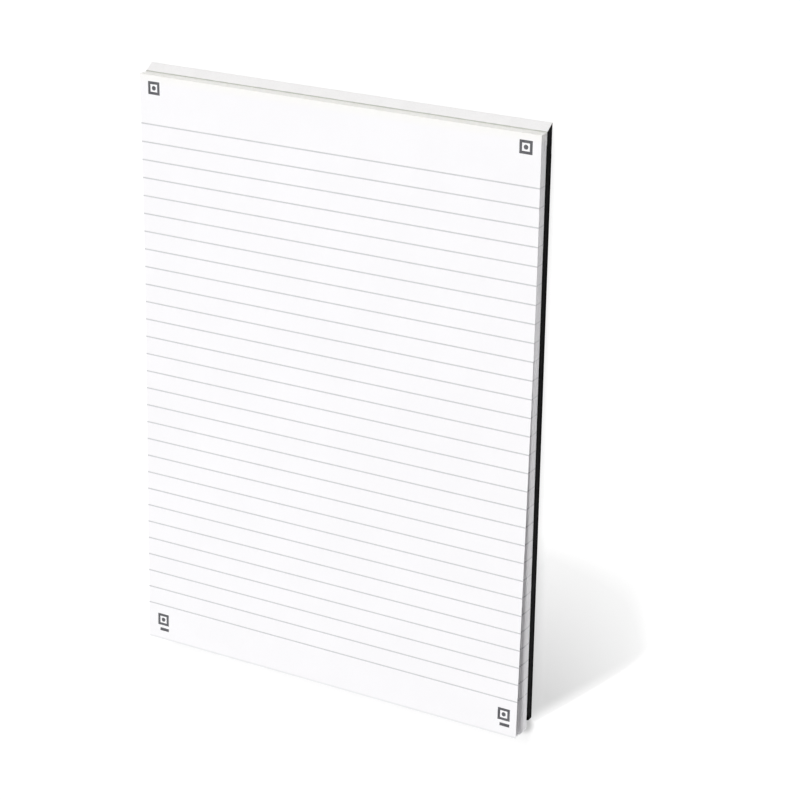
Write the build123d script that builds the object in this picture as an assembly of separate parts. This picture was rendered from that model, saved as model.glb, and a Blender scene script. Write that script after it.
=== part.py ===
from build123d import *
import os
from math import asin, atan2, cos, hypot, sin, tan

# A ruled writing pad, bound at the head, lying on its back.
# X runs across the page, +Y towards the head, +Z up out of the front sheet.
# The origin is the middle of the underside.

# Driving dimensions, in millimetres
PAD_WIDTH = 210.0            # short side of an A4 sheet
PAD_LENGTH = 297.0           # from the head of the tape to the foot of the sheets
BOARD_THICKNESS = 2.7        # one black board; two of them make the backing
UPPER_BOARD_FOOT = 5.5       # how far the upper board stops short of the sheets' foot
LOWER_BOARD_FOOT = 3.0       # how far the lower board stops short of the sheets' foot
BOARD_CORNER = 0.8           # radius of a board's corners at the foot
HEAD_SLOPE_RUN = 3.2         # from the head of the tape to the crease, where the slope ends
HEAD_EDGE_RADIUS = 0.4       # rounding where the tape turns under the backing
TAPE_THICKNESS = 0.3
TAPE_TUCK = 6.0              # tape under the sheets, from the crease
TAPE_RETURN = 14.0           # tape on the back, from the head
SHEETS_SETBACK = 0.2         # from the crease to the head of the glue
GLUE_THICKNESS = 0.4
STACK_AT_HEAD = 5.15         # height of the tight stack of sheets at the glue
STACK_AT_FOOT = 11.25        # height of the fanned stack at its free end
SHEETS_BEND = 90.0           # from the head of the tape to the middle of the sheets' bend
BEND_LENGTH = 80.0           # the sheets curve over this length, and are straight beyond it
LEAF_COUNT = 16              # leaves that stand apart at the foot, each a few sheets
LEAF_GAP_ROOT = 0.04         # height of the gap between two leaves where it starts
FRONT_GAP_SHARE = 30.0       # height of the frontmost gap at the foot, against the rearmost
GAP_CROWDING = 3.0           # power by which the gaps grow from the rear to the front

# Heights and places worked out from them
BACKING_HEIGHT = 2 * BOARD_THICKNESS
HEAD_Y = PAD_LENGTH / 2
FOOT_Y = -PAD_LENGTH / 2
CREASE_Y = HEAD_Y - HEAD_SLOPE_RUN
GLUE_HEAD_Y = CREASE_Y - SHEETS_SETBACK
STACK_HEAD_Y = GLUE_HEAD_Y - GLUE_THICKNESS
FRONT_Z = BACKING_HEIGHT + STACK_AT_HEAD
FRONT_RISE = STACK_AT_FOOT - STACK_AT_HEAD
BEND_Y = HEAD_Y - SHEETS_BEND
BEND_START_Y = BEND_Y + BEND_LENGTH / 2


def across_width(face):
    """Extrude a section drawn in Y and Z over the pad's full width."""
    return extrude(Plane.YZ * face, amount=PAD_WIDTH / 2, both=True)


def closed_section(*edges):
    """Return the face inside a closed run of edges drawn in Y and Z."""
    return make_face(Wire(list(edges)))


def polygon(*points):
    """Return the face inside a closed polygon drawn in Y and Z."""
    return make_face(Polyline(*points, close=True))


def box_section(head_y, foot_y, low_z, high_z):
    """Return an upright rectangle between two places along the pad and two heights."""
    return polygon((head_y, low_z), (foot_y, low_z), (foot_y, high_z), (head_y, high_z))


# The stack of sheets


def bent_side(start_z, rise):
    """Return the edges of a sheet's side view, from where its bend starts to the foot.

    It leaves the flat stack at start_z, curves, and then climbs straight to start_z + rise.
    A sheet that doesn't climb lies straight along the backing.
    """
    bend_start = (BEND_START_Y, start_z)
    foot = (FOOT_Y, start_z + rise)
    if rise == 0:
        return [Line(bend_start, foot)]
    lean = atan2(rise, BEND_Y - FOOT_Y)
    bend_end = (BEND_Y - BEND_LENGTH / 2 * cos(lean), start_z + BEND_LENGTH / 2 * sin(lean))
    return [TangentArc(bend_start, bend_end, tangent=(-1, 0)), Line(bend_end, foot)]


def leaf_gap_rises():
    """Return the climb of each leaf gap from its root to the foot, rearmost gap first."""
    shares = [
        1 + (FRONT_GAP_SHARE - 1) * (gap / max(1, LEAF_COUNT - 2)) ** GAP_CROWDING
        for gap in range(LEAF_COUNT - 1)
    ]
    return [FRONT_RISE * share / sum(shares) for share in shares]


def leaf_gap(root_z, rise_below, rise):
    """Return the wedge of air between two leaves, open at the foot."""
    lower = bent_side(root_z, rise_below)
    upper = bent_side(root_z + LEAF_GAP_ROOT, rise_below + rise)
    foot = Line(lower[-1] @ 1, upper[-1] @ 1)
    root = Line(upper[0] @ 0, lower[0] @ 0)
    return across_width(closed_section(*lower, foot, *upper, root))


def make_sheet_block():
    """Return the sheets as one solid: tight at the head, parted into leaves at the foot."""
    front = bent_side(FRONT_Z, FRONT_RISE)
    rest = Polyline(
        (FOOT_Y, FRONT_Z + FRONT_RISE),
        (FOOT_Y, BACKING_HEIGHT),
        (STACK_HEAD_Y, BACKING_HEIGHT),
        (STACK_HEAD_Y, FRONT_Z),
        (BEND_START_Y, FRONT_Z),
    )
    block = across_width(closed_section(*front, *rest.edges()))
    rise_below = 0.0
    for number, rise in enumerate(leaf_gap_rises(), start=1):
        root_z = BACKING_HEIGHT + number * STACK_AT_HEAD / LEAF_COUNT - LEAF_GAP_ROOT
        block -= leaf_gap(root_z, rise_below, rise)
        rise_below += rise
    return block


def make_head_glue():
    """Return the dried glue over the sheets' head ends."""
    return across_width(
        box_section(GLUE_HEAD_Y, STACK_HEAD_Y, BACKING_HEIGHT, BACKING_HEIGHT + STACK_AT_HEAD)
    )


# The backing and its tape


def head_corner_y():
    """Return where the head slope would meet the underside if that edge were left sharp.

    The slope runs from the crease and touches the rounding, whose centre is one radius
    inside the head and above the underside.
    """
    run = HEAD_SLOPE_RUN - HEAD_EDGE_RADIUS
    drop = BACKING_HEIGHT - HEAD_EDGE_RADIUS
    steepness = atan2(drop, run) - asin(HEAD_EDGE_RADIUS / hypot(drop, run))
    return CREASE_Y + BACKING_HEIGHT / tan(steepness)


def backing_section():
    """Return the side view of both boards with the tape around their head end."""
    section = polygon(
        (head_corner_y(), 0),
        (FOOT_Y, 0),
        (FOOT_Y, BACKING_HEIGHT),
        (CREASE_Y, BACKING_HEIGHT),
    )
    head_corner = section.vertices().sort_by(Axis.X)[-1]
    return fillet(head_corner, HEAD_EDGE_RADIUS)


def tape_section():
    """Return the side view of the tape: a tuck under the sheets, the slope and a return."""
    skin = backing_section() - offset(backing_section(), -TAPE_THICKNESS)
    above = box_section(head_corner_y(), CREASE_Y - TAPE_TUCK, BOARD_THICKNESS, BACKING_HEIGHT)
    below = box_section(head_corner_y(), HEAD_Y - TAPE_RETURN, 0, BOARD_THICKNESS)
    return skin & (above + below)


def make_head_tape():
    """Return the paper tape over the head of the backing."""
    return across_width(tape_section())


def make_board(low_z, foot_margin):
    """Return one black board, cut to leave room for the tape."""
    slab = box_section(head_corner_y(), FOOT_Y + foot_margin, low_z, low_z + BOARD_THICKNESS)
    board = across_width((backing_section() & slab) - tape_section())
    foot_corners = board.edges().filter_by(Axis.Z).group_by(Axis.Y)[0]
    return fillet(foot_corners, BOARD_CORNER)


NODES = {
    "sheet_block": make_sheet_block,
    "head_glue": make_head_glue,
    "head_tape": make_head_tape,
    "backing_board_upper": lambda: make_board(BOARD_THICKNESS, UPPER_BOARD_FOOT),
    "backing_board_lower": lambda: make_board(0.0, LOWER_BOARD_FOOT),
}

os.makedirs("parts", exist_ok=True)
for name, make in NODES.items():
    piece = make()
    export_step(piece, f"parts/{name}.step")
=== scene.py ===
"""A ruled writing pad with a glued head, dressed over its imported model.

The sheets and their printing are made here, sheet by sheet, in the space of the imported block.
The glue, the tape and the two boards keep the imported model's shapes and get their finishes.
Lengths are in metres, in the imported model's frame: X across the page, +Y to the head, +Z up.
"""

import logging
import math
import random
from dataclasses import dataclass, field, replace
from enum import Enum
from typing import Sequence, Union

import bmesh
import bpy
from mathutils import Matrix, Vector


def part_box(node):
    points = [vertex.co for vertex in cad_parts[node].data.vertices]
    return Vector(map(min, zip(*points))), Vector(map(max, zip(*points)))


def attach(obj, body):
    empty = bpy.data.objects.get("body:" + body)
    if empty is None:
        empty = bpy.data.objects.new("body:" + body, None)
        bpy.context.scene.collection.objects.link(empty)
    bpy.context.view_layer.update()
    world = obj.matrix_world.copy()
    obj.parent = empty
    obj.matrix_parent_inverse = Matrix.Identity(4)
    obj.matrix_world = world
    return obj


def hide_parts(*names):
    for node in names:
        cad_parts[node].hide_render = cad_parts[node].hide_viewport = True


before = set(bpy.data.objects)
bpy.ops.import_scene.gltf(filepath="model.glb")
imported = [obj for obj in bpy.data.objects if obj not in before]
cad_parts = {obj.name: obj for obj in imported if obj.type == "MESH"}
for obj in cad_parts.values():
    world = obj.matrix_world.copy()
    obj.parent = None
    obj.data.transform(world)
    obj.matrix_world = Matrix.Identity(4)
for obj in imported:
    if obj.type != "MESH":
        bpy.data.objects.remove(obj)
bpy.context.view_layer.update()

LOG = logging.getLogger("writing_pad")
MM = 0.001
BODY = "root"
SHEETS_SETBACK = 0.2 * MM
NEARLY_NOTHING = 1e-7

Colour = tuple[float, float, float]
SocketValue = Union[bpy.types.NodeSocket, float, Sequence[float]]


class PaperSlot(Enum):
    """Where a sheet's faces take their finish from, by material index."""

    PAPER = 0
    RULE = 1
    FAINT_INK_AND_FOOT_SHADE = 2


class RecordSlot(Enum):
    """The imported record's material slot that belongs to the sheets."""

    SHEETS = "writing_paper"


class CornerPlace(Enum):
    """The page's corners, as signs along X and Y from the middle."""

    HEAD_LEFT = (-1, 1)
    HEAD_RIGHT = (1, 1)
    FOOT_LEFT = (-1, -1)
    FOOT_RIGHT = (1, -1)


def tone(red: int, green: int, blue: int) -> Colour:
    """Turn a screen colour into the scene's linear one.

    Args:
        red: Red on the screen, 0 to 255.
        green: Green on the screen, 0 to 255.
        blue: Blue on the screen, 0 to 255.

    Returns:
        The three linear values, 0 to 1.
    """

    def linear(value: int) -> float:
        """Undo the screen's curve for one channel."""
        share = value / 255
        return share / 12.92 if share <= 0.04045 else ((share + 0.055) / 1.055) ** 2.4

    return linear(red), linear(green), linear(blue)


class NodeBoard:
    """A node tree under work, with short ways to add and wire its nodes."""

    def __init__(self, tree: bpy.types.NodeTree) -> None:
        """Take over a node tree.

        Args:
            tree: The tree that gets the nodes.
        """
        self.tree = tree

    def add(self, kind: str, **settings: object) -> bpy.types.Node:
        """Add a node.

        Args:
            kind: The node's type name.
            settings: Properties to set on it.

        Returns:
            The new node.
        """
        node = self.tree.nodes.new(kind)
        for name, value in settings.items():
            setattr(node, name, value)
        return node

    def feed(self, socket: bpy.types.NodeSocket, value: SocketValue) -> None:
        """Give an input its value.

        Args:
            socket: The input.
            value: An output to link, or a plain value to set.
        """
        if isinstance(value, bpy.types.NodeSocket):
            self.tree.links.new(value, socket)
        elif socket.type == "RGBA" and len(value) == 3:
            socket.default_value = (*value, 1.0)
        else:
            socket.default_value = value

    def maths(
        self, operation: str, *values: SocketValue, clamp: bool = False
    ) -> bpy.types.NodeSocket:
        """Add a Math node.

        Args:
            operation: The node's operation.
            values: Its inputs, in order.
            clamp: Whether the result is held between 0 and 1.

        Returns:
            The node's output.
        """
        node = self.add("ShaderNodeMath", operation=operation, use_clamp=clamp)
        for socket, value in zip(node.inputs, values):
            self.feed(socket, value)
        return node.outputs["Value"]

    def vector_maths(self, operation: str, *values: SocketValue) -> bpy.types.NodeSocket:
        """Add a Vector Math node.

        Args:
            operation: The node's operation.
            values: Its inputs, in order.

        Returns:
            The node's vector output.
        """
        node = self.add("ShaderNodeVectorMath", operation=operation)
        for socket, value in zip(node.inputs, values):
            self.feed(socket, value)
        return node.outputs["Vector"]

    def parts(self, vector: SocketValue) -> tuple[bpy.types.NodeSocket, ...]:
        """Split a vector.

        Args:
            vector: The vector's output.

        Returns:
            Its X, Y and Z.
        """
        node = self.add("ShaderNodeSeparateXYZ")
        self.feed(node.inputs["Vector"], vector)
        return node.outputs["X"], node.outputs["Y"], node.outputs["Z"]

    def ramp(
        self,
        value: SocketValue,
        start: SocketValue,
        end: SocketValue,
        low: float = 0.0,
        high: float = 1.0,
    ) -> bpy.types.NodeSocket:
        """Ease a value from low to high while it goes from start to end.

        Args:
            value: The value to map.
            start: Where the result is low.
            end: Where the result is high.
            low: The result before start.
            high: The result after end.

        Returns:
            The mapped value.
        """
        node = self.add("ShaderNodeMapRange", interpolation_type="SMOOTHSTEP", clamp=True)
        self.feed(node.inputs["Value"], value)
        self.feed(node.inputs["From Min"], start)
        self.feed(node.inputs["From Max"], end)
        self.feed(node.inputs["To Min"], low)
        self.feed(node.inputs["To Max"], high)
        return node.outputs["Result"]

    def noise(
        self,
        vector: SocketValue,
        scale: SocketValue,
        detail: float = 3.0,
        roughness: float = 0.5,
        distortion: float = 0.0,
    ) -> bpy.types.NodeSocket:
        """Add a Noise Texture.

        Args:
            vector: The coordinates it reads.
            scale: Its features to a metre.
            detail: Its octaves.
            roughness: How strong the finer octaves are.
            distortion: How far it is bent.

        Returns:
            The noise, around 0.5.
        """
        node = self.add("ShaderNodeTexNoise")
        self.feed(node.inputs["Vector"], vector)
        self.feed(node.inputs["Scale"], scale)
        self.feed(node.inputs["Detail"], detail)
        self.feed(node.inputs["Roughness"], roughness)
        self.feed(node.inputs["Distortion"], distortion)
        return node.outputs["Fac"]

    def blend(
        self, factor: SocketValue, first: SocketValue, second: SocketValue
    ) -> bpy.types.NodeSocket:
        """Mix two colours.

        Args:
            factor: How much of the second colour shows.
            first: The first colour.
            second: The second colour.

        Returns:
            The mixed colour.
        """
        node = self.add("ShaderNodeMix", data_type="RGBA")
        self.feed(node.inputs["Factor"], factor)
        colour_inputs = [socket for socket in node.inputs[1:] if socket.type == "RGBA"]
        for socket, colour in zip(colour_inputs, (first, second)):
            self.feed(socket, colour)
        return next(socket for socket in node.outputs if socket.type == "RGBA")

    def place(self, tree: bpy.types.NodeTree, **values: SocketValue) -> bpy.types.Node:
        """Place a node group.

        Args:
            tree: The group.
            values: Its inputs by name, with underscores for spaces.

        Returns:
            The group's node.
        """
        node = self.add("ShaderNodeGroup", node_tree=tree)
        for name, value in values.items():
            self.feed(node.inputs[name.replace("_", " ")], value)
        return node

    def object_place(self) -> bpy.types.NodeSocket:
        """Return the point's place in the object's own coordinates."""
        return self.add("ShaderNodeTexCoord").outputs["Object"]


class EffectGroup:
    """A shader node group that more than one finish uses, built on first use."""

    name = "effect"
    inputs: tuple[tuple[str, str, SocketValue], ...] = ()
    outputs: tuple[str, ...] = ()

    def tree(self) -> bpy.types.NodeTree:
        """Return the group, and build it the first time.

        Returns:
            The shared node group.
        """
        found = bpy.data.node_groups.get(self.name)
        if found:
            return found
        made = bpy.data.node_groups.new(self.name, "ShaderNodeTree")
        for label, kind, value in self.inputs:
            socket = made.interface.new_socket(label, in_out="INPUT", socket_type=kind)
            socket.default_value = value
        for label in self.outputs:
            made.interface.new_socket(label, in_out="OUTPUT", socket_type="NodeSocketFloat")
        board = NodeBoard(made)
        entry = board.add("NodeGroupInput")
        exit_node = board.add("NodeGroupOutput")
        self.wire(board, entry, exit_node)
        return made

    def wire(self, board: NodeBoard, entry: bpy.types.Node, exit_node: bpy.types.Node) -> None:
        """Wire the group's inside.

        Args:
            board: The group's tree under work.
            entry: The node with the group's inputs.
            exit_node: The node with the group's outputs.
        """
        raise NotImplementedError


class FibreGrain(EffectGroup):
    """Pressed fibres: short crossing strands, slow cloudiness and the strands' relief."""

    name = "fibre_grain"
    inputs = (
        ("Vector", "NodeSocketVector", (0.0, 0.0, 0.0)),
        ("Strands Across", "NodeSocketVector", (4000.0, 900.0, 4000.0)),
        ("Strands Along", "NodeSocketVector", (900.0, 4000.0, 4000.0)),
        ("Cloud Scale", "NodeSocketFloat", 60.0),
    )
    outputs = ("Fibre", "Cloud", "Height")
    # The noises' detail, roughness and distortion, and the span of each that shows
    strand_noise = (2.0, 0.55, 0.6)
    strand_span = (0.48, 0.72)
    cloud_noise = (3.0, 0.6)
    cloud_span = (0.35, 0.65)

    def wire(self, board: NodeBoard, entry: bpy.types.Node, exit_node: bpy.types.Node) -> None:
        """Wire two crossing layers of strands and a cloud layer.

        Args:
            board: The group's tree under work.
            entry: The node with the group's inputs.
            exit_node: The node with the group's outputs.
        """
        place = entry.outputs["Vector"]
        layers = []
        for name in ("Strands Across", "Strands Along"):
            drawn = board.vector_maths("MULTIPLY", place, entry.outputs[name])
            layers.append(board.noise(drawn, 1.0, *self.strand_noise))
        strands = board.maths("MAXIMUM", *layers)
        cloud = board.noise(place, entry.outputs["Cloud Scale"], *self.cloud_noise)
        board.feed(exit_node.inputs["Fibre"], board.ramp(strands, *self.strand_span))
        board.feed(exit_node.inputs["Cloud"], board.ramp(cloud, *self.cloud_span))
        board.feed(exit_node.inputs["Height"], strands)


class EdgeWear(EffectGroup):
    """Rubbed arrises of a box: where two of its sides meet, broken up by noise."""

    name = "edge_wear"
    inputs = (
        ("Vector", "NodeSocketVector", (0.0, 0.0, 0.0)),
        ("Low Corner", "NodeSocketVector", (-1.0, -1.0, -1.0)),
        ("High Corner", "NodeSocketVector", (1.0, 1.0, 1.0)),
        ("Reach", "NodeSocketFloat", 0.0005),
        ("Break Up", "NodeSocketFloat", 400.0),
    )
    outputs = ("Wear",)
    # The noise's detail and roughness, the span of it that counts, and what that does to the reach
    noise_kind = (4.0, 0.65)
    noise_span = (0.3, 0.7)
    reach_shares = (0.25, 1.6)

    def wire(self, board: NodeBoard, entry: bpy.types.Node, exit_node: bpy.types.Node) -> None:
        """Wire the distance to the nearest arris and its noise.

        Args:
            board: The group's tree under work.
            entry: The node with the group's inputs.
            exit_node: The node with the group's outputs.
        """
        place = entry.outputs["Vector"]
        from_low = board.parts(board.vector_maths("SUBTRACT", place, entry.outputs["Low Corner"]))
        from_high = board.parts(board.vector_maths("SUBTRACT", entry.outputs["High Corner"], place))
        near = [board.maths("MINIMUM", low, high) for low, high in zip(from_low, from_high)]
        nearer = board.maths("MINIMUM", near[0], near[1])
        farther = board.maths("MAXIMUM", near[0], near[1])
        second_nearest = board.maths("MAXIMUM", nearer, board.maths("MINIMUM", farther, near[2]))
        noise = board.noise(place, entry.outputs["Break Up"], *self.noise_kind)
        share = board.ramp(noise, *self.noise_span, *self.reach_shares)
        uneven = board.maths("MULTIPLY", entry.outputs["Reach"], share)
        board.feed(exit_node.inputs["Wear"], board.ramp(second_nearest, 0.0, uneven, 1.0, 0.0))


class Handling(EffectGroup):
    """Marks of use: sparse fine scratches and faint rubbed patches."""

    name = "handling"
    inputs = (
        ("Vector", "NodeSocketVector", (0.0, 0.0, 0.0)),
        ("Scratch Scale", "NodeSocketFloat", 40.0),
        ("Patch Scale", "NodeSocketFloat", 18.0),
    )
    outputs = ("Scratch", "Patch")
    # A scratch is the thin contour of a stretched noise, kept in a few spots only
    stretch = (1.0, 0.22, 1.0)
    contour_noise = (1.0, 0.4, 0.3)
    scratch_width = 0.0035
    spot_scale = 0.9
    spot_noise = (2.0, 0.5)
    spot_span = (0.58, 0.66)
    patch_noise = (4.0, 0.6)
    patch_span = (0.42, 0.72)

    def wire(self, board: NodeBoard, entry: bpy.types.Node, exit_node: bpy.types.Node) -> None:
        """Wire the scratches and the patches.

        Args:
            board: The group's tree under work.
            entry: The node with the group's inputs.
            exit_node: The node with the group's outputs.
        """
        place = entry.outputs["Vector"]
        scale = entry.outputs["Scratch Scale"]
        drawn = board.vector_maths("MULTIPLY", place, self.stretch)
        contour = board.noise(drawn, scale, *self.contour_noise)
        ridge = board.maths("ABSOLUTE", board.maths("SUBTRACT", contour, 0.5))
        line = board.ramp(ridge, 0.0, self.scratch_width, 1.0, 0.0)
        spot_scale = board.maths("MULTIPLY", scale, self.spot_scale)
        spots = board.noise(place, spot_scale, *self.spot_noise)
        scratch = board.maths("MULTIPLY", line, board.ramp(spots, *self.spot_span))
        board.feed(exit_node.inputs["Scratch"], scratch)
        patch = board.noise(place, entry.outputs["Patch Scale"], *self.patch_noise)
        board.feed(exit_node.inputs["Patch"], board.ramp(patch, *self.patch_span))


@dataclass(frozen=True)
class Skin:
    """A surface's gloss, and how deep and how strong its fine relief is."""

    specular: float
    relief_depth: float
    relief_strength: float


class Surface:
    """A material under work: its node tree and its one Principled shader."""

    def __init__(self, name: str) -> None:
        """Start a material with an empty tree.

        Args:
            name: The material's name.
        """
        self.material = bpy.data.materials.new(name)
        self.material.use_nodes = True
        self.material.node_tree.nodes.clear()
        self.board = NodeBoard(self.material.node_tree)
        self.place = self.board.object_place()

    def finish(
        self,
        colour: bpy.types.NodeSocket,
        rough: bpy.types.NodeSocket,
        height: bpy.types.NodeSocket,
        skin: Skin,
    ) -> bpy.types.Material:
        """Feed the shader, with its relief through a Bump node.

        Args:
            colour: The base colour.
            rough: The roughness.
            height: The relief's height, around 0 to 1.
            skin: The gloss and the relief's size.

        Returns:
            The finished material.
        """
        bump = self.board.add("ShaderNodeBump")
        bump.inputs["Distance"].default_value = skin.relief_depth
        bump.inputs["Strength"].default_value = skin.relief_strength
        self.board.feed(bump.inputs["Height"], height)
        shader = self.board.add("ShaderNodeBsdfPrincipled")
        shader.inputs["Specular IOR Level"].default_value = skin.specular
        self.board.feed(shader.inputs["Base Color"], colour)
        self.board.feed(shader.inputs["Roughness"], rough)
        self.board.feed(shader.inputs["Normal"], bump.outputs["Normal"])
        output = self.board.add("ShaderNodeOutputMaterial")
        self.board.feed(output.inputs["Surface"], shader.outputs["BSDF"])
        return self.material


@dataclass(frozen=True)
class Fibres:
    """Pressed fibres in a finish: their scales, and how far they change its colour and gloss."""

    strands_across: tuple[float, float, float]
    strands_along: tuple[float, float, float]
    cloud_scale: float
    fibre_share: float
    cloud_share: float
    extra_roughness: float

    def lay(
        self, surface: Surface, plain: Colour, strand: Colour, roughness: float
    ) -> tuple[bpy.types.NodeSocket, ...]:
        """Lay the fibres over a surface.

        Args:
            surface: The surface under work.
            plain: The colour between the fibres.
            strand: The fibres' colour.
            roughness: The roughness between the fibres.

        Returns:
            The mottled colour, the roughness and the relief's height.
        """
        board = surface.board
        grain = board.place(
            FibreGrain().tree(),
            Vector=surface.place,
            Strands_Across=self.strands_across,
            Strands_Along=self.strands_along,
            Cloud_Scale=self.cloud_scale,
        ).outputs
        fibre = board.maths("MULTIPLY", grain["Fibre"], self.fibre_share)
        cloudy = board.maths("MULTIPLY_ADD", grain["Cloud"], self.cloud_share, fibre)
        rough = board.maths("MULTIPLY_ADD", grain["Fibre"], self.extra_roughness, roughness)
        return board.blend(cloudy, plain, strand), rough, grain["Height"]


@dataclass(frozen=True)
class Rubbing:
    """Wear along a piece's arrises: how far it reaches, how broken up and how strong it is."""

    reach: float
    break_up: float
    share: float

    def over(self, surface: Surface, low: Vector, high: Vector) -> bpy.types.NodeSocket:
        """Return how much of the worn colour shows.

        Args:
            surface: The surface under work.
            low: The piece's low corner.
            high: The piece's high corner.

        Returns:
            The mask.
        """
        wear = surface.board.place(
            EdgeWear().tree(),
            Vector=surface.place,
            Low_Corner=low,
            High_Corner=high,
            Reach=self.reach,
            Break_Up=self.break_up,
        )
        return surface.board.maths("MULTIPLY", wear.outputs["Wear"], self.share)


PAPER_FIBRES = Fibres((5200.0, 1300.0, 5200.0), (1300.0, 5200.0, 5200.0), 45.0, 0.45, 0.3, 0.12)


@dataclass(frozen=True)
class WritingPaper:
    """Smooth white uncoated paper, with a trace of glue near its head."""

    head_y: float
    colour: Colour = tone(252, 251, 253)
    fibre_colour: Colour = tone(247, 246, 248)
    glue_tint: Colour = tone(251, 250, 247)
    tint_reach: float = 5 * MM
    tint_share: float = 0.85
    roughness: float = 0.72
    fibres: Fibres = PAPER_FIBRES
    skin: Skin = Skin(0.3, 0.02 * MM, 0.35)

    def build(self) -> bpy.types.Material:
        """Build the paper's material.

        Returns:
            The material.
        """
        surface = Surface("writing_paper")
        board = surface.board
        laid = self.fibres.lay(surface, self.colour, self.fibre_colour, self.roughness)
        colour, rough, height = laid
        along = board.parts(surface.place)[1]
        tint_start = self.head_y - self.tint_reach
        near_head = board.ramp(along, tint_start, self.head_y, 0.0, self.tint_share)
        tinted = board.blend(near_head, colour, self.glue_tint)
        return surface.finish(tinted, rough, height, self.skin)


@dataclass(frozen=True)
class PrintingInk:
    """Thin grey ink that sinks into the paper and lets its fibres show."""

    name: str
    colour: Colour
    worn_colour: Colour
    roughness: float = 0.62
    fibres: Fibres = replace(PAPER_FIBRES, cloud_scale=220.0, fibre_share=0.4)
    skin: Skin = Skin(0.35, 0.015 * MM, 0.3)

    def build(self) -> bpy.types.Material:
        """Build the ink's material.

        Returns:
            The material.
        """
        surface = Surface(self.name)
        laid = self.fibres.lay(surface, self.colour, self.worn_colour, self.roughness)
        return surface.finish(*laid, self.skin)


@dataclass(frozen=True)
class PaddingGlue:
    """Dried padding glue: a milky film, brushed along the head."""

    colour: Colour = tone(252, 251, 248)
    thick_colour: Colour = tone(248, 246, 240)
    stroke_scale: tuple[float, float, float] = (60.0, 900.0, 1500.0)
    stroke_noise: tuple[float, ...] = (3.0, 0.6, 0.4)
    stroke_span: tuple[float, float] = (0.3, 0.7)
    pool_scale: float = 180.0
    pool_noise: tuple[float, ...] = (3.0, 0.6)
    pool_span: tuple[float, float] = (0.45, 0.7)
    pool_share: float = 0.6
    roughness_span: tuple[float, float] = (0.34, 0.6)
    skin: Skin = Skin(0.4, 0.08 * MM, 0.5)

    def build(self) -> bpy.types.Material:
        """Build the glue's material.

        Returns:
            The material.
        """
        surface = Surface("padding_glue")
        board = surface.board
        brushed = board.vector_maths("MULTIPLY", surface.place, self.stroke_scale)
        strokes = board.noise(brushed, 1.0, *self.stroke_noise)
        pools = board.noise(surface.place, self.pool_scale, *self.pool_noise)
        thick = board.maths("MULTIPLY", board.ramp(pools, *self.pool_span), self.pool_share)
        colour = board.blend(thick, self.colour, self.thick_colour)
        rough = board.ramp(strokes, *self.stroke_span, *self.roughness_span)
        height = board.maths("MULTIPLY_ADD", pools, self.pool_share, strokes)
        return surface.finish(colour, rough, height, self.skin)


@dataclass(frozen=True)
class BindingPaper:
    """Tough off-white paper tape: long fibres, soft wrinkles and painted shade along its crease."""

    low: Vector
    high: Vector
    crease_y: float
    boards_top: float
    colour: Colour = tone(249, 248, 248)
    fibre_colour: Colour = tone(241, 240, 240)
    # The crease colour is painted shade in the tape's fold at the glue
    crease_shade_colour: Colour = tone(188, 190, 182)
    worn_colour: Colour = tone(214, 213, 209)
    roughness: float = 0.66
    fibres: Fibres = Fibres((700.0, 2600.0, 2600.0), (2600.0, 900.0, 2600.0), 70.0, 0.5, 0.35, 0.14)
    rubbing: Rubbing = Rubbing(0.5 * MM, 700.0, 0.5)
    crease_scale: float = 220.0
    crease_noise: tuple[float, ...] = (2.0, 0.5)
    crease_span: tuple[float, float] = (0.3, 0.7)
    crease_reach: tuple[float, float] = (0.28 * MM, 0.42 * MM)
    crease_core: float = 0.35
    crease_below_top: tuple[float, float] = (0.9 * MM, 0.3 * MM)
    wrinkle_scale: tuple[float, float, float] = (160.0, 45.0, 45.0)
    wrinkle_noise: tuple[float, ...] = (3.0, 0.5, 0.4)
    wrinkle_height: float = 2.2
    skin: Skin = Skin(0.35, 0.05 * MM, 0.45)

    def crease(self, surface: Surface) -> bpy.types.NodeSocket:
        """Return how much of the painted crease shade shows: a thin uneven line on the tape's upper
        face.

        Args:
            surface: The surface under work.

        Returns:
            The mask.
        """
        board = surface.board
        _, along, up = board.parts(surface.place)
        uneven = board.noise(surface.place, self.crease_scale, *self.crease_noise)
        reach = board.ramp(uneven, *self.crease_span, *self.crease_reach)
        off_crease = board.maths("ABSOLUTE", board.maths("SUBTRACT", along, self.crease_y))
        core = board.maths("MULTIPLY", reach, self.crease_core)
        by_reach = board.ramp(off_crease, core, reach, 1.0, 0.0)
        on_top = board.ramp(up, *(self.boards_top - below for below in self.crease_below_top))
        return board.maths("MULTIPLY", by_reach, on_top)

    def build(self) -> bpy.types.Material:
        """Build the tape's material.

        Returns:
            The material.
        """
        surface = Surface("binding_paper")
        board = surface.board
        laid = self.fibres.lay(surface, self.colour, self.fibre_colour, self.roughness)
        colour, rough, height = laid
        worn = self.rubbing.over(surface, self.low, self.high)
        colour = board.blend(worn, colour, self.worn_colour)
        # Painted shade: the crease's grey line
        colour = board.blend(self.crease(surface), colour, self.crease_shade_colour)
        drawn = board.vector_maths("MULTIPLY", surface.place, self.wrinkle_scale)
        wrinkle = board.noise(drawn, 1.0, *self.wrinkle_noise)
        height = board.maths("MULTIPLY_ADD", wrinkle, self.wrinkle_height, height)
        return surface.finish(colour, rough, height, self.skin)


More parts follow.
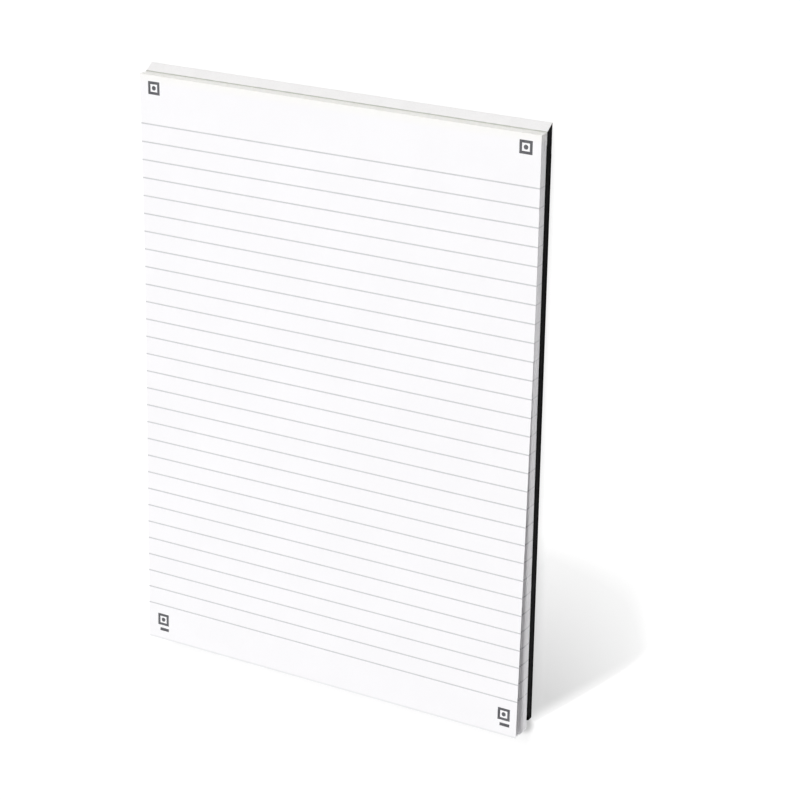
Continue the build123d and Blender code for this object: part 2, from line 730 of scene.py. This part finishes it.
@dataclass(frozen=True)
class BlackBoard:
    """Dense black board: matt pressed fibre, layered at its cut sides, rubbed at its arrises."""

    name: str
    low: Vector
    high: Vector
    colour: Colour = tone(6, 6, 7)
    fibre_colour: Colour = tone(15, 15, 16)
    layer_colour: Colour = tone(22, 22, 23)
    worn_colour: Colour = tone(66, 65, 64)
    roughness: float = 0.7
    fibres: Fibres = Fibres((3000.0, 800.0, 3000.0), (800.0, 3000.0, 3000.0), 35.0, 0.6, 0.35, 0.16)
    layer_scale: tuple[float, float, float] = (45.0, 45.0, 4200.0)
    layer_noise: tuple[float, ...] = (2.0, 0.6, 0.3)
    layer_span: tuple[float, float] = (0.5, 0.68)
    layer_share: float = 0.55
    layer_height: float = 0.6
    side_span: tuple[float, float] = (0.02 * MM, 0.12 * MM)
    rubbing: Rubbing = Rubbing(0.45 * MM, 650.0, 0.4)
    scratch_scale: float = 26.0
    scratch_share: float = 0.3
    scratch_height: float = -0.5
    patch_scale: float = 14.0
    patch_roughness: float = -0.12
    skin: Skin = Skin(0.06, 0.05 * MM, 0.5)

    def layers(self, surface: Surface) -> bpy.types.NodeSocket:
        """Return where the pressed layers show: in bands on the cut sides, not on the faces.

        Args:
            surface: The surface under work.

        Returns:
            The mask.
        """
        board = surface.board
        drawn = board.vector_maths("MULTIPLY", surface.place, self.layer_scale)
        bands = board.ramp(board.noise(drawn, 1.0, *self.layer_noise), *self.layer_span)
        up = board.parts(surface.place)[2]
        below_top = board.ramp(board.maths("SUBTRACT", self.high.z, up), *self.side_span)
        above_rear = board.ramp(board.maths("SUBTRACT", up, self.low.z), *self.side_span)
        return board.maths("MULTIPLY", bands, board.maths("MULTIPLY", below_top, above_rear))

    def build(self) -> bpy.types.Material:
        """Build the board's material.

        Returns:
            The material.
        """
        surface = Surface(self.name)
        board = surface.board
        laid = self.fibres.lay(surface, self.colour, self.fibre_colour, self.roughness)
        colour, rough, height = laid
        layered = self.layers(surface)
        marks = board.place(
            Handling().tree(),
            Vector=surface.place,
            Scratch_Scale=self.scratch_scale,
            Patch_Scale=self.patch_scale,
        ).outputs
        banded = board.maths("MULTIPLY", layered, self.layer_share)
        colour = board.blend(banded, colour, self.layer_colour)
        worn = self.rubbing.over(surface, self.low, self.high)
        colour = board.blend(worn, colour, self.worn_colour)
        scratched = board.maths("MULTIPLY", marks["Scratch"], self.scratch_share)
        colour = board.blend(scratched, colour, self.worn_colour)
        rough = board.maths("MULTIPLY_ADD", marks["Patch"], self.patch_roughness, rough)
        height = board.maths("MULTIPLY_ADD", layered, self.layer_height, height)
        height = board.maths("MULTIPLY_ADD", marks["Scratch"], self.scratch_height, height)
        return surface.finish(colour, rough, height, self.skin)


@dataclass(frozen=True)
class PadSizes:
    """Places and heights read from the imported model."""

    half_width: float
    sheets_head_y: float
    foot_y: float
    boards_top: float
    glued_height: float
    front_at_foot: float
    crease_y: float
    head_y: float

    @classmethod
    def from_frame(cls) -> "PadSizes":
        """Read the sizes.

        Returns:
            The pad's sizes.
        """
        block_low, block_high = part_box("sheet_block")
        glue_low, glue_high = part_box("head_glue")
        tape_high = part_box("head_tape")[1]
        return cls(
            half_width=block_high.x,
            sheets_head_y=block_high.y,
            foot_y=block_low.y,
            boards_top=block_low.z,
            glued_height=glue_high.z - glue_low.z,
            front_at_foot=block_high.z,
            crease_y=glue_high.y + SHEETS_SETBACK,
            head_y=tape_high.y,
        )


@dataclass(frozen=True)
class FrontCurve:
    """The front sheet's side view: flat from the glue, a bend, then straight to its free foot."""

    sizes: PadSizes
    bend_from_head: float = 90 * MM
    bend_length: float = 80 * MM

    def climb(self, along: float) -> float:
        """Return how far the front sheet has risen above the tight stack.

        Args:
            along: The place along the pad, on Y.

        Returns:
            The rise, on Z.
        """
        sizes = self.sizes
        half = self.bend_length / 2
        bend_y = sizes.head_y - self.bend_from_head
        full = sizes.front_at_foot - sizes.boards_top - sizes.glued_height
        lean = math.atan2(full, bend_y - sizes.foot_y)
        into_bend = bend_y + half - along
        if into_bend <= 0:
            return 0.0
        if along <= bend_y - half * math.cos(lean):
            return (bend_y - along) * math.tan(lean)
        radius = half / math.tan(lean / 2)
        return radius - math.sqrt(radius**2 - into_bend**2)

    def height(self, along: float) -> float:
        """Return the height of the front sheet's face.

        Args:
            along: The place along the pad, on Y.

        Returns:
            The height, on Z.
        """
        return self.sizes.boards_top + self.sizes.glued_height + self.climb(along)


@dataclass
class SheetFan:
    """How the sheets share the stack's height: tight at the glue, parted towards the foot."""

    sizes: PadSizes
    curve: FrontCurve
    sheet_count: int = 50
    crowding: float = 9.0
    skew: float = 0.08
    loose_chance: float = 0.4
    loose_sizes: tuple[float, float] = (0.7, 1.2)
    cling: float = 0.06
    foot_stagger: float = 0.3 * MM
    side_stagger: float = 0.06 * MM
    seed: int = 11
    shares: list[float] = field(init=False)
    foot_offsets: list[float] = field(init=False)
    side_offsets: list[float] = field(init=False)

    def __post_init__(self) -> None:
        """Settle each sheet's own small differences."""
        chance = random.Random(self.seed)
        last = self.sheet_count - 1
        gaps = [0.0]
        for index in range(1, self.sheet_count):
            loose = index == last or chance.random() < self.loose_chance
            size = chance.uniform(*self.loose_sizes) if loose else self.cling
            gaps.append(size * (index / last) ** self.crowding)
        self.shares = [sum(gaps[: index + 1]) / sum(gaps) for index in range(self.sheet_count)]
        sheets = range(self.sheet_count)
        self.foot_offsets = [chance.random() ** 2 * self.foot_stagger for _ in sheets]
        self.side_offsets = [chance.random() * self.side_stagger for _ in sheets]
        self.foot_offsets[last] = 0.0
        self.side_offsets[last] = 0.0

    @property
    def thickness(self) -> float:
        """Return one sheet's share of the stack's height at the glue."""
        return self.sizes.glued_height / self.sheet_count

    def underside(self, index: int, across: float, along: float) -> float:
        """Return the height of a sheet's rear face.

        Args:
            index: The sheet's number, 0 at the boards.
            across: The place across the pad, on X.
            along: The place along the pad, on Y.

        Returns:
            The height, on Z.
        """
        share = self.shares[index] ** (1 + self.skew * across / self.sizes.half_width)
        return self.sizes.boards_top + index * self.thickness + self.curve.climb(along) * share


@dataclass(frozen=True)
class Ruling:
    """The printed rules: how many, how far apart and how wide."""

    sizes: PadSizes
    count: int = 29
    first_from_head: float = 27.33 * MM
    pitch: float = 8.943 * MM
    width: float = 0.66 * MM

    def centres(self) -> list[float]:
        """Return the rules' places along the pad, first rule first."""
        first = self.sizes.head_y - self.first_from_head
        return [first - number * self.pitch for number in range(self.count)]

    def covers(self, along: float) -> bool:
        """Return whether a place along the pad lies in a rule."""
        return any(abs(along - centre) < self.width / 2 for centre in self.centres())


def object_from(
    shape: bmesh.types.BMesh, name: str, *materials: bpy.types.Material
) -> bpy.types.Object:
    """Turn a bmesh into an object of the scene, at the origin.

    Args:
        shape: The finished bmesh, which is freed.
        name: The object's name.
        materials: Its materials, in order.

    Returns:
        The new object.
    """
    mesh = bpy.data.meshes.new(name)
    shape.to_mesh(mesh)
    shape.free()
    for material in materials:
        mesh.materials.append(material)
    made = bpy.data.objects.new(name, mesh)
    bpy.context.scene.collection.objects.link(made)
    return made


@dataclass
class SheetStack:
    """The pad's sheets, each its own thin ruled leaf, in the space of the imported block."""

    fan: SheetFan
    ruling: Ruling
    columns: int = 4
    plain_rows: int = 3
    air: float = 0.03
    # The width of the faint ink's painted shade strip along the foot
    foot_edge_shade: float = 1.0 * MM

    def flat_leaf(self) -> bpy.types.Mesh:
        """Make one flat leaf of unit height, cut at every rule, with the rules' faces marked.

        Returns:
            The leaf's mesh. Its rear lies at height 0 and its front at height 1.
        """
        sizes = self.fan.sizes
        leaf = bmesh.new()
        bmesh.ops.create_grid(leaf, x_segments=self.columns, y_segments=1, size=0.5)
        length = sizes.sheets_head_y - sizes.foot_y
        middle_y = (sizes.sheets_head_y + sizes.foot_y) / 2
        bmesh.ops.scale(leaf, verts=leaf.verts, vec=(2 * sizes.half_width, length, 1))
        bmesh.ops.translate(leaf, verts=leaf.verts, vec=(0, middle_y, 0))
        for place in self.cut_places():
            bmesh.ops.bisect_plane(
                leaf,
                geom=leaf.verts[:] + leaf.edges[:] + leaf.faces[:],
                dist=NEARLY_NOTHING,
                plane_co=(0, place, 0),
                plane_no=(0, 1, 0),
            )
        raised = bmesh.ops.extrude_face_region(leaf, geom=leaf.faces[:])
        front = [item for item in raised["geom"] if isinstance(item, bmesh.types.BMVert)]
        bmesh.ops.translate(leaf, verts=front, vec=(0, 0, 1))
        bmesh.ops.recalc_face_normals(leaf, faces=leaf.faces)
        for face in leaf.faces:
            middle = face.calc_center_median()
            face.material_index = self.slot_of(face, middle).value
        mesh = bpy.data.meshes.new("flat_leaf")
        leaf.to_mesh(mesh)
        leaf.free()
        return mesh

    def slot_of(self, face: bmesh.types.BMFace, middle: Vector) -> PaperSlot:
        """Return the finish of one face of a flat leaf.

        Args:
            face: The face.
            middle: Its middle.

        Returns:
            The rule's ink on its front, the faint ink at its ends and as painted shade along the
            foot, else paper.
        """
        faces_up = face.normal.z > 0.5
        if not self.ruling.covers(middle.y):
            # A strip along the front faces' foot takes the faint ink as painted shade at the edge
            at_foot = middle.y < self.fan.sizes.foot_y + self.foot_edge_shade
            return PaperSlot.FAINT_INK_AND_FOOT_SHADE if faces_up and at_foot else PaperSlot.PAPER
        if faces_up:
            return PaperSlot.RULE
        return PaperSlot.FAINT_INK_AND_FOOT_SHADE if abs(face.normal.x) > 0.5 else PaperSlot.PAPER

    def cut_places(self) -> list[float]:
        """Return where a leaf is cut: both sides of every rule, the foot's painted shade strip and
        plain places.
        """
        half = self.ruling.width / 2
        centres = self.ruling.centres()
        places = [centre + side * half for centre in centres for side in (1, -1)]
        places.append(self.fan.sizes.foot_y + self.foot_edge_shade)
        blanks = ((self.fan.sizes.sheets_head_y, centres[0]), (centres[-1], self.fan.sizes.foot_y))
        for start, end in blanks:
            step = (end - start) / (self.plain_rows + 1)
            places += [start + step * row for row in range(1, self.plain_rows + 1)]
        return places

    def lay(self, stack: bmesh.types.BMesh, leaf: bpy.types.Mesh, index: int) -> None:
        """Add one sheet to the stack and bend it to its place.

        Args:
            stack: The bmesh that gets the sheet.
            leaf: The flat leaf.
            index: The sheet's number, 0 at the boards.
        """
        fan = self.fan
        sizes = fan.sizes
        before = len(stack.verts)
        stack.from_mesh(leaf)
        stack.verts.ensure_lookup_table()
        span = sizes.sheets_head_y - sizes.foot_y
        is_front = index == fan.sheet_count - 1
        height = fan.thickness * (1 if is_front else 1 - self.air)
        narrowing = 1 - fan.side_offsets[index] / sizes.half_width
        for vert in stack.verts[before:]:
            progress = (sizes.sheets_head_y - vert.co.y) / span
            along = vert.co.y + progress * fan.foot_offsets[index]
            across = vert.co.x * narrowing
            rear = fan.underside(index, across, along)
            vert.co = (across, along, rear + vert.co.z * height)

    def build(self, *finishes: bpy.types.Material) -> list[bpy.types.Object]:
        """Build the front sheet and the stack behind it.

        Args:
            finishes: The materials of the paper, the rules and the faint ink, which also paints the
                shade along the foot, in that order.

        Returns:
            The stack's object and the front sheet's object.
        """
        leaf = self.flat_leaf()
        last = self.fan.sheet_count - 1
        stack = bmesh.new()
        for index in range(last):
            self.lay(stack, leaf, index)
        rear_sheets = object_from(stack, "ruled_sheets", *finishes)
        single = bmesh.new()
        self.lay(single, leaf, last)
        front_sheet = object_from(single, "front_sheet", *finishes)
        bpy.data.meshes.remove(leaf)
        for piece in (rear_sheets, front_sheet):
            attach(piece, BODY)
        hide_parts("sheet_block")
        return [rear_sheets, front_sheet]


@dataclass
class CornerMarks:
    """The small printed marks: a plain frame round a dot at each corner, a bar under two."""

    sizes: PadSizes
    curve: FrontCurve
    frame_width: float = 6.4 * MM
    frame_height: float = 6.3 * MM
    stroke: float = 1.3 * MM
    dot_radius: float = 1.1 * MM
    bar_width: float = 5.2 * MM
    bar_height: float = 1.6 * MM
    bar_gap: float = 1.5 * MM
    bar_shift: float = 0.6 * MM
    dot_sides: int = 24
    film: float = 0.012 * MM
    sunk: float = 0.01 * MM
    centres: dict[CornerPlace, tuple[float, float]] = field(
        default_factory=lambda: {
            CornerPlace.HEAD_LEFT: (-97.2 * MM, 9.55 * MM),
            CornerPlace.HEAD_RIGHT: (97.65 * MM, 9.65 * MM),
            CornerPlace.FOOT_LEFT: (-96.4 * MM, 285.9 * MM),
            CornerPlace.FOOT_RIGHT: (98.15 * MM, 285.85 * MM),
        }
    )

    def thicken(self, shape: bmesh.types.BMesh, faces: list[bmesh.types.BMFace]) -> None:
        """Raise flat faces to the ink's film.

        Args:
            shape: The marks' bmesh.
            faces: The faces to raise.
        """
        raised = bmesh.ops.extrude_face_region(shape, geom=faces)
        top = [item for item in raised["geom"] if isinstance(item, bmesh.types.BMVert)]
        bmesh.ops.translate(shape, verts=top, vec=(0, 0, self.film + self.sunk))

    def rectangle(
        self, shape: bmesh.types.BMesh, centre: tuple[float, float], width: float, height: float
    ) -> list[bmesh.types.BMFace]:
        """Add a flat rectangle.

        Args:
            shape: The marks' bmesh.
            centre: Its middle, on X and Y.
            width: Its size on X.
            height: Its size on Y.

        Returns:
            Its one face.
        """
        made = bmesh.ops.create_grid(shape, x_segments=1, y_segments=1, size=0.5)["verts"]
        bmesh.ops.scale(shape, verts=made, vec=(width, height, 1))
        bmesh.ops.translate(shape, verts=made, vec=(*centre, 0))
        return list({face for vert in made for face in vert.link_faces})

    def frame_with_dot(self, shape: bmesh.types.BMesh, centre: tuple[float, float]) -> None:
        """Add a frame with a round dot in its middle.

        Args:
            shape: The marks' bmesh.
            centre: Its middle, on X and Y.
        """
        outer = self.rectangle(shape, centre, self.frame_width, self.frame_height)
        inset = bmesh.ops.inset_region(
            shape, faces=outer, thickness=self.stroke, use_boundary=True, use_even_offset=True
        )
        rim = inset["faces"]
        bmesh.ops.delete(shape, geom=outer, context="FACES_ONLY")
        self.thicken(shape, rim)
        dot = bmesh.ops.create_circle(
            shape, cap_ends=True, segments=self.dot_sides, radius=self.dot_radius
        )["verts"]
        bmesh.ops.translate(shape, verts=dot, vec=(*centre, 0))
        self.thicken(shape, list({face for vert in dot for face in vert.link_faces}))

    def build(self, ink: bpy.types.Material) -> bpy.types.Object:
        """Build all marks as one thin print that follows the page.

        Args:
            ink: The marks' material.

        Returns:
            The marks' object.
        """
        shape = bmesh.new()
        for corner, (across, from_head) in self.centres.items():
            centre = (across, self.sizes.head_y - from_head)
            self.frame_with_dot(shape, centre)
            if corner in (CornerPlace.FOOT_LEFT, CornerPlace.FOOT_RIGHT):
                below = centre[1] - self.frame_height / 2 - self.bar_gap - self.bar_height / 2
                bar_centre = (across + self.bar_shift, below)
                bar = self.rectangle(shape, bar_centre, self.bar_width, self.bar_height)
                self.thicken(shape, bar)
        for vert in shape.verts:
            vert.co.z += self.curve.height(vert.co.y) - self.sunk
        bmesh.ops.recalc_face_normals(shape, faces=shape.faces)
        marks = object_from(shape, "corner_marks", ink)
        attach(marks, BODY)
        return marks


@dataclass
class Binding:
    """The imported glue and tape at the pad's head, given their finishes."""

    sizes: PadSizes

    def dress(self) -> list[bpy.types.Object]:
        """Give both nodes their materials.

        Returns:
            The dressed objects.
        """
        low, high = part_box("head_tape")
        tape_finish = BindingPaper(low, high, self.sizes.crease_y, self.sizes.boards_top)
        glue = dress_node("head_glue", PaddingGlue().build())
        return [glue, dress_node("head_tape", tape_finish.build())]


@dataclass
class Backing:
    """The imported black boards, given their finishes."""

    nodes: tuple[str, ...] = ("backing_board_lower", "backing_board_upper")

    def dress(self) -> list[bpy.types.Object]:
        """Give each board its own material, with wear along its own arrises.

        Returns:
            The dressed objects.
        """
        return [dress_node(node, BlackBoard(node, *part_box(node)).build()) for node in self.nodes]


def dress_node(node: str, material: bpy.types.Material) -> bpy.types.Object:
    """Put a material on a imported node.

    Args:
        node: The node's name.
        material: Its finish.

    Returns:
        The node's object.
    """
    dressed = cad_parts[node]
    for slot in dressed.material_slots:
        slot.material = material
    return dressed


@dataclass(frozen=True)
class SoftBox:
    """A square lamp that throws soft shadows, aimed at a point."""

    name: str
    place: tuple[float, float, float]
    aim: tuple[float, float, float]
    size: float
    power: float
    colour: Colour = (1.0, 1.0, 1.0)

    def build(self) -> bpy.types.Object:
        """Build the lamp.

        Returns:
            The lamp's object.
        """
        lamp = bpy.data.lights.new(self.name, "AREA")
        lamp.shape = "SQUARE"
        lamp.size = self.size
        lamp.energy = self.power
        lamp.color = self.colour
        made = bpy.data.objects.new(self.name, lamp)
        made.location = self.place
        towards = Vector(self.aim) - Vector(self.place)
        made.rotation_euler = towards.to_track_quat("-Z", "Y").to_euler()
        bpy.context.scene.collection.objects.link(made)
        return made


@dataclass(frozen=True)
class Viewpoint:
    """The camera's place, its line of sight and its lens."""

    place: tuple[float, float, float] = (530.96 * MM, 416.79 * MM, 906.37 * MM)
    sight: tuple[float, float, float] = (-0.44860083, -0.37058468, -0.81327996)
    upwards: tuple[float, float, float] = (-0.18932741, 0.92873378, -0.31876118)
    lens: float = 106.65
    sensor: float = 36.0
    clip: tuple[float, float] = (0.01, 50.0)

    def build(self) -> bpy.types.Object:
        """Build the camera and make it the scene's own.

        Returns:
            The camera's object.
        """
        camera = bpy.data.cameras.new("camera")
        camera.lens = self.lens
        camera.sensor_width = self.sensor
        camera.clip_start, camera.clip_end = self.clip
        made = bpy.data.objects.new("camera", camera)
        forward = Vector(self.sight).normalized()
        side = forward.cross(Vector(self.upwards)).normalized()
        up = side.cross(forward)
        turn = Matrix((side, up, -forward)).transposed()
        made.matrix_world = Matrix.Translation(self.place) @ turn.to_4x4()
        bpy.context.scene.collection.objects.link(made)
        bpy.context.scene.camera = made
        return made


@dataclass
class Studio:
    """Floor, world and lamps: plain, pale and soft."""

    sizes: PadSizes
    floor_size: float = 8.0
    floor_colour: Colour = (0.66, 0.66, 0.66)
    seen_floor_colour: Colour = (0.3, 0.3, 0.3)
    seen_floor_glow: float = 0.78
    world_level: float = 0.14
    # The painted shadow wedge beside the foot: start and full count from the pad's middle, rise and
    # fall from its right side
    shade_start: float = 46 * MM
    shade_full: float = 131 * MM
    shade_depth: float = 0.345
    shade_slant: float = 0.868
    shade_softness: float = 5 * MM
    shade_foot_margin: float = 3 * MM
    shade_fade: float = 0.58
    shade_fade_run: float = 50 * MM
    shade_rise: tuple[float, float] = (-6.5 * MM, 7.8 * MM)
    shade_fall: tuple[float, float] = (44.2 * MM, 70.2 * MM)
    shade_gain: float = 3.0
    shade_lift: float = 0.1
    # The painted shade line under the sheets' foot: its ends stand in from the pad's sides, and it
    # fades out from its core to its reach
    foot_shade_inset: float = 4.5 * MM
    foot_shade_out: float = 0.5 * MM
    foot_shade_core: float = 3 * MM
    foot_shade_reach: float = 7.5 * MM
    foot_shade_depth: float = 0.42

    def build_floor(self) -> bpy.types.Object:
        """Build the floor, which looks white to the camera and keeps the pad's shadow, deepened by
        painted shade by its foot.

        Returns:
            The floor's object.
        """
        shape = bmesh.new()
        bmesh.ops.create_grid(shape, x_segments=1, y_segments=1, size=self.floor_size / 2)
        floor = object_from(shape, "floor", self.floor_material())
        return floor

    def floor_material(self) -> bpy.types.Material:
        """Build the floor's material.

        Returns:
            The material: plain and pale, with a share of its own white for the camera only.
        """
        material = bpy.data.materials.new("studio_floor")
        material.use_nodes = True
        material.node_tree.nodes.clear()
        board = NodeBoard(material.node_tree)
        pale = board.add("ShaderNodeBsdfDiffuse")
        board.feed(pale.inputs["Color"], self.floor_colour)
        seen_pale = board.add("ShaderNodeBsdfDiffuse")
        board.feed(seen_pale.inputs["Color"], self.seen_floor_colour)
        glow = board.add("ShaderNodeEmission")
        dimmed = board.maths("SUBTRACT", self.seen_floor_glow, self.floor_shade(board), clamp=True)
        board.feed(glow.inputs["Strength"], dimmed)
        both = board.add("ShaderNodeAddShader")
        board.feed(both.inputs[0], seen_pale.outputs["BSDF"])
        board.feed(both.inputs[1], glow.outputs["Emission"])
        seen = board.add("ShaderNodeMixShader")
        board.feed(seen.inputs["Fac"], board.add("ShaderNodeLightPath").outputs["Is Camera Ray"])
        board.feed(seen.inputs[1], pale.outputs["BSDF"])
        board.feed(seen.inputs[2], both.outputs["Shader"])
        output = board.add("ShaderNodeOutputMaterial")
        board.feed(output.inputs["Surface"], seen.outputs["Shader"])
        return material

    def floor_shade(self, board: NodeBoard) -> bpy.types.NodeSocket:
        """Paint shade into the floor beside the pad's right foot corner and under the sheets' foot.

        The painted wedge beside the corner deepens towards the foot, fades away from the pad, and
        ends at a soft slanting edge.

        Args:
            board: The floor's tree under work.

        Returns:
            How much of the floor's own white is taken away.
        """
        across, along, _ = board.parts(board.object_place())
        towards_foot = board.maths("SUBTRACT", -self.shade_start, along)
        shade_run = self.shade_full - self.shade_start
        deeper = board.maths("DIVIDE", towards_foot, shade_run, clamp=True)
        out = board.maths("SUBTRACT", across, self.sizes.half_width)
        fade = -self.shade_fade / self.shade_fade_run
        fading = board.maths("MULTIPLY_ADD", out, fade, 1.0, clamp=True)
        starting = board.ramp(out, *self.shade_rise)
        ending = board.ramp(out, *self.shade_fall, 1.0, 0.0)
        beside = board.maths("MAXIMUM", out, 0.0)
        edge_start = self.sizes.foot_y + self.shade_foot_margin
        edge = board.maths("MULTIPLY_ADD", beside, self.shade_slant, edge_start)
        inside = board.maths("SUBTRACT", along, edge)
        bounded = board.ramp(inside, -self.shade_softness, self.shade_softness)
        shade = board.maths("MULTIPLY", deeper, self.shade_depth)
        for part in (starting, fading, ending, bounded):
            shade = board.maths("MULTIPLY", shade, part)
        steep = board.maths("MULTIPLY", shade, self.shade_gain)
        wedge = board.maths("MINIMUM", steep, board.maths("ADD", shade, self.shade_lift))
        return board.maths("MAXIMUM", wedge, self.foot_shade(board, across, along))

    def foot_shade(
        self, board: NodeBoard, across: bpy.types.NodeSocket, along: bpy.types.NodeSocket
    ) -> bpy.types.NodeSocket:
        """Paint shade into the floor under the sheets' foot, where they stand out past the boards.

        Args:
            board: The floor's tree under work.
            across: The place across the pad.
            along: The place along the pad.

        Returns:
            How much of the floor's own white is taken away.
        """
        line_end = self.sizes.half_width - self.foot_shade_inset
        past_end = board.maths("SUBTRACT", board.maths("ABSOLUTE", across), line_end)
        from_x = board.maths("MAXIMUM", past_end, 0.0)
        from_y = board.maths("SUBTRACT", along, self.sizes.foot_y - self.foot_shade_out)
        y_squared = board.maths("MULTIPLY", from_y, from_y)
        distance = board.maths("SQRT", board.maths("MULTIPLY_ADD", from_x, from_x, y_squared))
        near = board.ramp(distance, self.foot_shade_core, self.foot_shade_reach, 1.0, 0.0)
        return board.maths("MULTIPLY", near, self.foot_shade_depth)

    def build_world(self) -> bpy.types.World:
        """Build the world: a weak even light, and plain white to the camera.

        Returns:
            The world.
        """
        world = bpy.data.worlds.new("studio")
        world.use_nodes = True
        world.node_tree.nodes.clear()
        board = NodeBoard(world.node_tree)
        light = board.add("ShaderNodeBackground")
        board.feed(light.inputs["Color"], (1.0, 1.0, 1.0))
        board.feed(light.inputs["Strength"], self.world_level)
        white = board.add("ShaderNodeBackground")
        board.feed(white.inputs["Color"], (1.0, 1.0, 1.0))
        board.feed(white.inputs["Strength"], 1.0)
        seen = board.add("ShaderNodeMixShader")
        board.feed(seen.inputs["Fac"], board.add("ShaderNodeLightPath").outputs["Is Camera Ray"])
        board.feed(seen.inputs[1], light.outputs["Background"])
        board.feed(seen.inputs[2], white.outputs["Background"])
        output = board.add("ShaderNodeOutputWorld")
        board.feed(output.inputs["Surface"], seen.outputs["Shader"])
        bpy.context.scene.world = world
        return world

    def lamps(self) -> list[SoftBox]:
        """Return the studio's lamps."""
        return [
            SoftBox("key_lamp", (-0.1, 1.9, 2.35), (0, 0, 0), 1.3, 65.0),
            SoftBox("top_lamp", (-0.1, -0.85, 1.75), (0, -0.1, 0), 0.8, 13.0),
            SoftBox("left_lamp", (-1.0, -0.88, 0.42), (0, -0.05, 0), 0.3, 2.5, (0.96, 0.98, 1.0)),
            SoftBox("right_lamp", (0.64, -0.52, 0.055), (0.1, -0.1, 0.01), 0.09, 1.6),
        ]

    def build(self) -> None:
        """Build the whole studio and set how colours are shown."""
        self.build_floor()
        self.build_world()
        for lamp in self.lamps():
            lamp.build()
        bpy.context.scene.view_settings.view_transform = "Standard"


def report(pieces: Sequence[bpy.types.Object]) -> None:
    """Log each finished piece.

    Args:
        pieces: The pieces to name.
    """
    for piece in pieces:
        LOG.info("piece %s: %d faces", piece.name, len(piece.data.polygons))


def main() -> None:
    """Build the pad's pieces in order, then the studio around them."""
    logging.basicConfig(level=logging.INFO, format="%(name)s: %(message)s")
    sizes = PadSizes.from_frame()
    Viewpoint().build()
    curve = FrontCurve(sizes)
    paper = WritingPaper(head_y=sizes.sheets_head_y).build()
    rule_ink = PrintingInk("rule_ink", tone(204, 204, 207), tone(218, 218, 220)).build()
    # The faint ink prints the rules' ends and paints the shade along the sheets' foot
    faint_ink_and_foot_shade = PrintingInk("faint_ink_and_foot_shade", tone(236, 236, 238), tone(244, 244, 245)).build()
    mark_ink = PrintingInk("mark_ink", tone(84, 84, 88), tone(122, 122, 126)).build()
    stack = SheetStack(SheetFan(sizes, curve), Ruling(sizes))
    report(stack.build(paper, rule_ink, faint_ink_and_foot_shade))
    report([CornerMarks(sizes, curve).build(mark_ink)])
    report(Binding(sizes).dress())
    report(Backing().dress())
    Studio(sizes).build()


if __name__ == "__main__":
    main()
